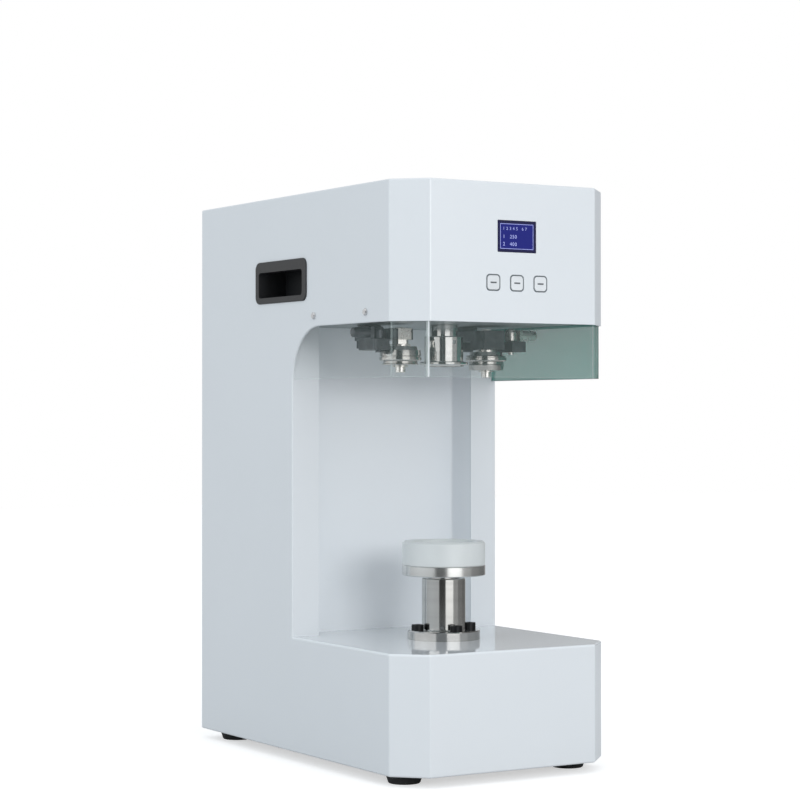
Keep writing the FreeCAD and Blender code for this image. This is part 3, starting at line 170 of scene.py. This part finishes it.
# Each card goes from its first to its last angle, in degrees from +X towards +Y.
for name, first, last, shade in (("lens_side_card", 214.0, 248.0, 0.03),
                                 ("front_card", 248.0, 289.0, 1.40),
                                 ("right_front_card", 289.0, 318.0, 0.42),
                                 ("right_card", 318.0, 352.0, 0.24),
                                 ("back_right_card", -8.0, 30.0, 0.18),
                                 ("back_card", 30.0, 66.0, 0.40),
                                 ("back_left_card", 66.0, 125.0, 0.62)):
    angle = math.radians((first + last) / 2)
    place = (card_ring * math.cos(angle), axis_y + card_ring * math.sin(angle),
             card_height / 2)
    reflection_card(name, place, (0, axis_y, card_height / 2),
                    2 * card_ring * math.tan(math.radians((last - first) / 2)),
                    card_height, shade)


# --- Cabinet sheets -----------------------------------------------------------------
# Folded steel sheet, powder coated in a cool white; in the throat the same coat is painted
# lighter, painted light that offsets the shade of the recess.
# The coat has a fine orange peel and a slight cloudiness; the panels meet flush.
class Signal:
    """A value worked out by shader nodes; arithmetic on it adds Math nodes."""

    def __init__(self, tree, socket):
        self.tree, self.socket = tree, socket

    def node(self, kind, settings=None, inputs=None, output=0):
        """Adds a node with its settings, then its inputs, and gives one output."""
        made = self.tree.nodes.new(kind)
        for name, value in (settings or {}).items():
            if name == "stops":
                ramp = made.color_ramp
                while len(ramp.elements) < len(value):
                    ramp.elements.new(0.5)
                for element, (place, colour) in zip(ramp.elements, value):
                    element.position = place
                    element.color = colour
            else:
                setattr(made, name, value)
        for name, value in (inputs or {}).items():
            if isinstance(value, Signal):
                self.tree.links.new(value.socket, made.inputs[name])
            else:
                made.inputs[name].default_value = value
        return Signal(self.tree, made.outputs[output])

    def math(self, operation, other=0.0, swapped=False):
        first, second = (other, self) if swapped else (self, other)
        return self.node("ShaderNodeMath", {"operation": operation}, {0: first, 1: second})

    def __add__(self, other):
        return self.math("ADD", other)

    def __sub__(self, other):
        return self.math("SUBTRACT", other)

    def __rsub__(self, other):
        return self.math("SUBTRACT", other, swapped=True)

    def __mul__(self, other):
        return self.math("MULTIPLY", other)

    __radd__ = __add__
    __rmul__ = __mul__

    def axis(self, index):
        return self.node("ShaderNodeSeparateXYZ", None, {0: self}, index)

    def rises(self, low, high):
        """0 below low, 1 above high, smooth between."""
        return self.node("ShaderNodeMapRange", {"interpolation_type": "SMOOTHSTEP"},
                         {"Value": self, "From Min": low, "From Max": high})

    def noise(self, scale, detail=2.0, output="Fac"):
        return self.node("ShaderNodeTexNoise", None,
                         {"Vector": self, "Scale": scale, "Detail": detail}, output)

    def blend(self, low_colour, high_colour):
        """Colour that goes from low to high as this value goes from 0 to 1."""
        low, high = [c if isinstance(c, Signal) else (*c, 1.0)
                     for c in (low_colour, high_colour)]
        return self.node("ShaderNodeMix", {"data_type": "RGBA"},
                         {0: self, 6: low, 7: high}, 2)

    def bump(self, distance, strength=1.0):
        return self.node("ShaderNodeBump", None,
                         {"Height": self, "Distance": distance, "Strength": strength},
                         "Normal")


def new_finish(name):
    """A material with its shader and the coordinates of the piece."""
    material = bpy.data.materials.new(name)
    tree = shader_tree(material)
    shader = tree.nodes["Principled BSDF"]
    coordinates = tree.nodes.new("ShaderNodeTexCoord")
    return material, shader, Signal(tree, coordinates.outputs["Object"])


def set_shader(shader, values):
    for name, value in values.items():
        if isinstance(value, Signal):
            value.tree.links.new(value.socket, shader.inputs[name])
        elif name.endswith("Color") and len(value) == 3:
            shader.inputs[name].default_value = (*value, 1.0)
        else:
            shader.inputs[name].default_value = value


def dress(material, *names):
    """Gives CAD nodes their finish."""
    for name in names:
        slots = nodes[name].data.materials
        slots.clear()
        slots.append(material)


def powder_coat(name, colour, roughness, peel):
    material, shader, place = new_finish(name)
    cloud = place.noise(9.0, 3.0)
    grain = place.noise(900.0, 2.0)
    set_shader(shader, {
        "Base Color": cloud.blend([c * 0.985 for c in colour], [c * 1.012 for c in colour]),
        "Roughness": cloud * 0.05 + (roughness - 0.025),
        "Specular IOR Level": 0.5,
        "Normal": grain.bump(peel, 0.35),
    })
    return material


coat_roughness, coat_peel = 0.34, 0.00006
dress(powder_coat("cabinet_powder_coat", (0.735, 0.768, 0.795), coat_roughness, coat_peel),
      "left_side_panel", "right_side_panel", "head_front_cover", "base_front_cover",
      "top_cover", "bottom_plate", "back_cover")
# Same coat painted about a tenth lighter: painted light that lifts the shaded throat.
dress(powder_coat("throat_coat_painted_lighter", (0.81, 0.845, 0.875), coat_roughness, coat_peel),
      "throat_wall")


# --- Table sheet of the base --------------------------------------------------------
# The same kind of sheet, finished to a high gloss so that cans slide on it; it mirrors
# the lift and the column.
dress(powder_coat("table_gloss_coat", (0.80, 0.835, 0.865), 0.05, 0.000004),
      "base_table_sheet")


# --- Clear guard --------------------------------------------------------------------
# Five panes of 3 mm acrylic with polished edges, glued at the corners. The right pane
# is tinted sea green. The corner joints and the bottom rim carry painted highlights,
# strongest at the front corners, fainter on the other edges.
guard_low, guard_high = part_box("guard_screen")
joint_highlight_width = 0.0014
corner_cut = 0.0268
pane_edge = 0.004        # pane and its glue, from the outer face
pane_fade = 0.002
rim_height = 0.0012
tint_fade = 0.0005


def guard_finish():
    material, shader, place = new_finish("guard_acrylic")
    x, y, z = place.axis(0), place.axis(1), place.axis(2)
    across = x.math("ABSOLUTE")
    corner_x = guard_high.x - corner_cut
    corner_y = guard_low.y + corner_cut
    near_front = (across - corner_x).math("ABSOLUTE").rises(0.0, joint_highlight_width)
    at_front = y.rises(guard_low.y + pane_edge, guard_low.y + pane_edge + pane_fade)
    front_joint_highlight = (1 - near_front) * (1 - at_front)
    near_side = (y - corner_y).math("ABSOLUTE").rises(0.0, joint_highlight_width)
    at_side = across.rises(guard_high.x - pane_edge - pane_fade, guard_high.x - pane_edge)
    side_joint_highlight = (1 - near_side) * at_side
    rim_highlight = 1 - z.rises(guard_low.z, guard_low.z + rim_height)
    tinted = at_side * x.rises(guard_high.x - pane_edge - tint_fade, guard_high.x - pane_edge)
    # Painted highlights: near-white on the front corner joints, fainter on the side joints
    # and the bottom rim, grey-green on the tinted pane's joint and rim; they also make the
    # pane more opaque there.
    clear_pane_highlight = (front_joint_highlight + side_joint_highlight * 0.22 + rim_highlight * 0.10) * (1 - tinted)
    glow = (clear_pane_highlight + (side_joint_highlight + rim_highlight) * tinted).math("MINIMUM", 1.0)
    colour = tinted.blend((0.55, 0.68, 0.65), (0.13, 0.40, 0.345))
    highlight_colour = tinted.blend((0.93, 0.95, 0.96), (0.40, 0.46, 0.46))
    set_shader(shader, {
        "Base Color": glow.blend(colour, highlight_colour),
        "Roughness": 0.05,
        "Alpha": (0.045 + tinted * 0.58 + glow * 0.75).math("MINIMUM", 0.95),
    })
    return material


dress(guard_finish(), "guard_screen")


# --- Carrying handles ---------------------------------------------------------------
# Flush pulls moulded in black plastic, clipped into the side panels, with a fine spark
# texture all over.
def moulded_plastic(name, colour, roughness, texture=0.00005):
    material, shader, place = new_finish(name)
    grain = place.noise(1400.0, 3.0)
    patches = place.noise(40.0, 2.0)
    set_shader(shader, {
        "Base Color": patches.blend([c * 0.9 for c in colour], [c * 1.1 for c in colour]),
        "Roughness": patches * 0.08 + (roughness - 0.04),
        "Normal": grain.bump(texture, 0.5),
    })
    return material


black_plastic = moulded_plastic("handle_black_plastic", (0.017, 0.018, 0.020), 0.42)
dress(black_plastic, "left_handle_cup", "right_handle_cup")


# --- Keys ---------------------------------------------------------------------------
# Three soft-touch keys in the colour of the cabinet, each in a dark grey gasket, with
# a small printed bar as its only mark, a thin block with rounded edges.
dress(moulded_plastic("key_white", (0.74, 0.765, 0.785), 0.32, 0.00001),
      "left_key", "middle_key", "right_key")
dress(moulded_plastic("gasket_grey", (0.13, 0.15, 0.165), 0.6), "key_gaskets")

mark_grey = moulded_plastic("key_print_grey", (0.10, 0.11, 0.12), 0.5)
mark_length, mark_height, mark_proud = 0.0072, 0.0015, 0.00004
for key in ("left_key", "middle_key", "right_key"):
    low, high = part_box(key)
    bpy.ops.object.select_all(action="DESELECT")
    bpy.ops.mesh.primitive_cube_add(size=1.0, location=(
        (low.x + high.x) / 2, low.y + mark_proud / 2, (low.z + high.z) / 2))
    mark = bpy.context.object
    mark.name = key + "_mark"
    mark.scale = (mark_length, mark_proud * 3, mark_height)
    bpy.ops.object.transform_apply(location=True, rotation=True, scale=True)
    rounding = mark.modifiers.new("round", "BEVEL")
    rounding.width = mark_proud
    rounding.segments = 2
    bpy.ops.object.modifier_apply(modifier="round")
    mark.data.materials.append(mark_grey)
    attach(mark, key + "_body")


# --- Display ------------------------------------------------------------------------
# A blue liquid-crystal module behind its window: a dark surround, a thin pale frame
# line and plain numbers.
def display_finish():
    material, shader, place = new_finish("display_navy")
    low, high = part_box("display_window")
    x, z = place.axis(0), place.axis(2)
    middle_x, middle_z = (low.x + high.x) / 2, (low.z + high.z) / 2
    half_x, half_z = (high.x - low.x) / 2, (high.z - low.z) / 2
    inner, outer = 0.0030, 0.0024    # edges of the surround's fade
    side = (x - middle_x).math("ABSOLUTE").rises(half_x - inner, half_x - outer)
    level = (z - middle_z).math("ABSOLUTE").rises(half_z - inner, half_z - outer)
    surround = side.math("MAXIMUM", level)
    set_shader(shader, {
        "Base Color": surround.blend((0.005, 0.008, 0.12), (0.010, 0.010, 0.055)),
        "Emission Color": surround.blend((0.005, 0.008, 0.12), (0.0, 0.0, 0.0)),
        "Emission Strength": 0.6,
        "Roughness": 0.12,
    })
    return material


dress(display_finish(), "display_window")


def segment_finish():
    material, shader, place = new_finish("display_pale_blue")
    flicker = place.noise(500.0)
    set_shader(shader, {
        "Base Color": flicker.blend((0.30, 0.33, 0.62), (0.40, 0.43, 0.72)),
        "Emission Color": flicker.blend((0.12, 0.14, 0.34), (0.18, 0.20, 0.42)),
        "Emission Strength": 0.8,
        "Roughness": 0.3,
    })
    return material


segment_blue = segment_finish()
display_low, display_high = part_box("display_window")
print_lift = 0.00004
row_margin = 0.0062      # first column of numbers from the window's edge
frame_margin = 0.0062    # frame line, both sides together
frame_width = 0.00045
letter_size = 1.4        # of the height of a number
letter_gap = 1.15


def display_piece(piece):
    piece.data.materials.clear()
    piece.data.materials.append(segment_blue)
    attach(piece, "cabinet")


def display_number(name, words, left, base, height):
    """Plain numbers laid flat on the window."""
    bpy.ops.object.select_all(action="DESELECT")
    bpy.ops.object.text_add(location=(0, 0, 0))
    words_object = bpy.context.object
    words_object.name = name
    words_object.data.body = words
    words_object.data.size = height * letter_size
    words_object.data.extrude = print_lift / 2
    words_object.data.resolution_u = 3
    words_object.data.space_character = letter_gap
    bpy.ops.object.convert(target="MESH")
    words_object = bpy.context.object
    words_object.rotation_euler = (math.radians(90), 0, 0)
    words_object.location = (left, display_low.y - print_lift / 2, base)
    bpy.ops.object.transform_apply(location=True, rotation=True, scale=True)
    display_piece(words_object)


# Name, numbers, base line above the window's edge, height
rows = (("top_number", "1 2 3 4 5   6 7", 0.0218, 0.0030),
        ("middle_number", "1   250", 0.0135, 0.0036),
        ("lower_number", "2   400", 0.0062, 0.0036))
for name, words, base, height in rows:
    display_number("display_" + name, words, display_low.x + row_margin,
                   display_low.z + base, height)

bpy.ops.object.select_all(action="DESELECT")
bpy.ops.mesh.primitive_plane_add(size=1.0, location=(0, 0, 0))
frame_line = bpy.context.object
frame_line.name = "display_frame_line"
frame_line.scale = (display_high.x - display_low.x - frame_margin,
                    display_high.z - display_low.z - frame_margin, 1)
frame_line.rotation_euler = (math.radians(90), 0, 0)
frame_line.location = ((display_low.x + display_high.x) / 2, display_low.y - print_lift,
                       (display_low.z + display_high.z) / 2)
bpy.ops.object.transform_apply(location=True, rotation=True, scale=True)
bpy.ops.object.mode_set(mode="EDIT")
bpy.ops.mesh.select_all(action="SELECT")
bpy.ops.mesh.inset(thickness=frame_width, depth=0)
bpy.ops.mesh.delete(type="FACE")
bpy.ops.object.mode_set(mode="OBJECT")
thick = frame_line.modifiers.new("thick", "SOLIDIFY")
thick.thickness = print_lift
bpy.ops.object.modifier_apply(modifier="thick")
display_piece(frame_line)


# --- Spindle, chuck and seaming rollers ---------------------------------------------
# Hardened steel, turned and polished. Fine turning marks run round each part's own
# axis.
def turned_metal(name, colour, roughness, centre, marks=2600.0, depth=0.000003):
    """Metal with turning marks round a vertical axis through centre."""
    roughness_spread = 0.05
    material, shader, place = new_finish(name)
    x, y, z = place.axis(0) - centre[0], place.axis(1) - centre[1], place.axis(2)
    radius = (x * x + y * y).math("SQRT")
    ring = place.node("ShaderNodeCombineXYZ", None, {"X": radius, "Z": z})
    fine = ring.noise(marks, 2.0)
    broad_step = 9.0
    broad = ring.noise(marks / broad_step, 2.0)
    set_shader(shader, {
        "Base Color": broad.blend([c * 0.86 for c in colour], [c * 1.06 for c in colour]),
        "Metallic": 1.0,
        "Roughness": fine * roughness_spread + (roughness - roughness_spread / 2),
        "Normal": fine.bump(depth, 0.6),
    })
    return material


def middle(name):
    low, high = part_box(name)
    return (low + high) / 2


spindle_centre = middle("seaming_chuck")
dress(turned_metal("chuck_polished_steel", (0.60, 0.60, 0.585), 0.10, spindle_centre),
      "seaming_chuck", "spindle_shaft")
for operation in ("first", "second"):
    roller = operation + "_seaming_roller"
    dress(turned_metal(roller + "_steel", (0.46, 0.45, 0.43), 0.14, middle(roller)), roller)


# --- Seaming arms -------------------------------------------------------------------
# Swinging arms of black-oxide steel with a dark adjuster on the first; its roller
# holder, the second adjuster and the roller pins are nickel plated.
def black_oxide(name, colour, roughness):
    material, shader, place = new_finish(name)
    worn = place.noise(120.0, 4.0)
    set_shader(shader, {
        "Base Color": worn.rises(0.35, 0.75).blend(colour, [c * 1.9 for c in colour]),
        "Metallic": 0.75,
        "Roughness": worn * 0.15 + (roughness - 0.07),
        "Normal": place.noise(1500.0).bump(0.00002, 0.4),
    })
    return material


dress(black_oxide("arm_black_oxide", (0.055, 0.06, 0.065), 0.42), "first_arm",
      "second_arm", "second_roller_holder", "first_arm_shaft", "second_arm_shaft")


def nickel_plate(name, colour):
    material, shader, place = new_finish(name)
    mottled = place.noise(160.0, 3.0)
    set_shader(shader, {
        "Base Color": mottled.blend([c * 0.9 for c in colour], [c * 1.05 for c in colour]),
        "Metallic": 0.9,
        "Roughness": mottled * 0.12 + 0.22,
    })
    return material


nickel = nickel_plate("nickel_plate", (0.74, 0.72, 0.68))
dress(nickel, "first_roller_holder", "second_arm_adjuster", "first_roller_pin",
      "second_roller_pin")
dress(black_oxide("adjuster_dark_steel", (0.075, 0.08, 0.088), 0.36),
      "first_arm_adjuster")


# --- Mounting plate and inner frame -------------------------------------------------
# Ground steel plate that carries the spindle housing and the arm shafts; it closes
# the head from below.
def ground_steel(name, colour):
    material, shader, place = new_finish(name)
    stretched = place.node("ShaderNodeVectorMath", {"operation": "MULTIPLY"},
                           {0: place, 1: (1.0, 30.0, 1.0)})
    lines = stretched.noise(60.0, 3.0)
    set_shader(shader, {
        "Base Color": lines.blend([c * 0.88 for c in colour], [c * 1.08 for c in colour]),
        "Metallic": 0.7,
        "Roughness": lines * 0.15 + 0.35,
        "Normal": lines.bump(0.00001, 0.5),
    })
    return material


plate_grey = ground_steel("ground_plate_steel", (0.30, 0.33, 0.34))
dress(plate_grey, "head_mounting_plate", "frame_spine", "lift_frame", "motor_bracket",
      "spindle_housing", "spindle_fasteners")


# --- Lift ---------------------------------------------------------------------------
# A flanged sleeve of satin steel held by four black socket screws, a ground ram, and
# a turned aluminium disc under the nest.
lift_centre = middle("lift_sleeve")
dress(turned_metal("sleeve_satin_steel", (0.56, 0.56, 0.545), 0.13, lift_centre),
      "lift_sleeve")
dress(turned_metal("ram_ground_steel", (0.60, 0.60, 0.60), 0.14, lift_centre),
      "lift_ram", "table_bearing", "table_pivot_pin")
dress(turned_metal("disc_turned_aluminium", (0.70, 0.71, 0.70), 0.22, lift_centre,
                   marks=1400.0), "table_disc")
dress(black_oxide("bolt_black_oxide", (0.012, 0.013, 0.014), 0.38), "lift_flange_bolts")


# --- Can nest -----------------------------------------------------------------------
# Turned from natural white nylon, slightly translucent, with faint turning marks.
def nylon():
    material, shader, place = new_finish("nest_natural_nylon")
    milky = place.noise(30.0, 2.0)
    marks = place.axis(2).node("ShaderNodeCombineXYZ", None, {"Z": place.axis(2)})
    set_shader(shader, {
        "Base Color": milky.blend((0.62, 0.65, 0.65), (0.68, 0.71, 0.71)),
        "Roughness": milky * 0.08 + 0.3,
        "Subsurface Weight": 0.35,
        "Subsurface Radius": (0.02, 0.02, 0.02),
        "Subsurface Scale": 0.3,
        "Normal": marks.noise(1800.0).bump(0.00001, 0.4),
    })
    return material


dress(nylon(), "can_nest")


# --- Rubber feet --------------------------------------------------------------------
# Moulded black rubber, each with a screw up through its recess.
def rubber():
    material, shader, place = new_finish("foot_rubber")
    dust = place.noise(70.0, 4.0)
    set_shader(shader, {
        "Base Color": dust.blend((0.010, 0.010, 0.011), (0.024, 0.024, 0.025)),
        "Roughness": dust * 0.1 + 0.7,
        "Normal": place.noise(900.0).bump(0.00005, 0.5),
    })
    return material


dress(rubber(), "rubber_feet", "drive_belt")


# --- Screws -------------------------------------------------------------------------
# Zinc-plated pan head screws in the back cover, the guard and the feet.
dress(nickel_plate("zinc_plate", (0.66, 0.67, 0.68)), "cabinet_screws")


# --- Power entry on the back --------------------------------------------------------
# Black appliance inlet and a rocker switch in its bezel.
dress(black_plastic, "power_inlet", "rocker_bezel", "display_module")
dress(moulded_plastic("rocker_gloss_black", (0.010, 0.010, 0.011), 0.2, 0.000004),
      "power_rocker")


# --- Inside the cabinet -------------------------------------------------------------
# Motors, pulleys, boards and supply, which show only through the vent slots.
dress(moulded_plastic("motor_satin_black", (0.02, 0.02, 0.022), 0.4), "drive_motor",
      "arm_gearmotors")
dress(moulded_plastic("board_green", (0.01, 0.09, 0.035), 0.35), "control_boards")
dress(nickel_plate("cast_aluminium", (0.60, 0.61, 0.62)), "power_supply", "lift_actuator",
      "spindle_pulley", "motor_pulley_shaft")
dress(nickel_plate("bush_bronze", (0.45, 0.30, 0.14)), "plain_bushes")
dress(nickel_plate("bearing_race_steel", (0.55, 0.55, 0.56)), "spindle_bearings")
